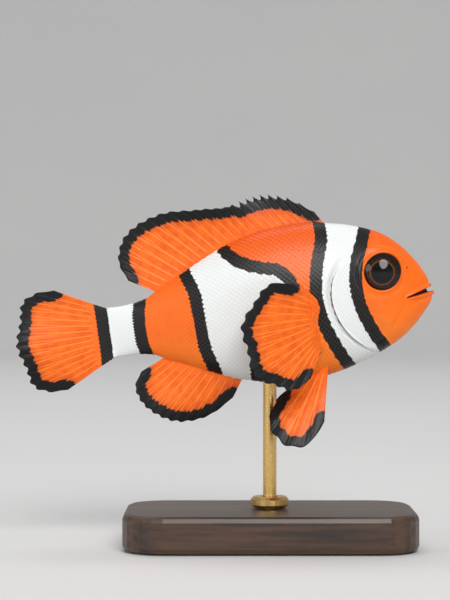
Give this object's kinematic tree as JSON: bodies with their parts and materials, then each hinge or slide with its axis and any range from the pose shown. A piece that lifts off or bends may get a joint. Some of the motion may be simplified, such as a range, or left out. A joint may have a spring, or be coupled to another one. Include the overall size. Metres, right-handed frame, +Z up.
{
  "type": "clownfish model",
  "caption": "Life-size still model of an orange clownfish with black-edged white bars, nose slightly up and fins spread, held by a rod over a flat wooden base.",
  "frame": {"origin": "centre of the underside of the stand's base, straight under the rod", "axes": "+X forward, the way the fish swims; +Y the fish's left side; +Z up"},
  "size_m": [0.0918, 0.038, 0.0773],
  "materials": {
    "skin": "moist scaled skin, orange with black-edged white bars",
    "fin": "ribbed fin membrane, orange with a black margin",
    "eye": "polished, black pupil under a clear cornea",
    "wood": "dark stained wood, satin varnish",
    "brass": "brushed brass"
  },
  "bodies": {
    "root": {"head": "skin", "lower_jaw": "skin", "gill_cover_left": "skin", "gill_cover_right": "skin", "trunk": "skin", "tail_stalk": "skin", "eye_left": "eye", "eye_right": "eye", "dorsal_fin": "fin", "anal_fin": "fin", "caudal_fin": "fin", "pectoral_fin_left": "fin", "pectoral_fin_right": "fin", "pelvic_fin_left": "fin", "pelvic_fin_right": "fin", "stand_base": "wood", "stand_rod": "brass", "stand_collar": "brass"}
  },
  "joints": []
}
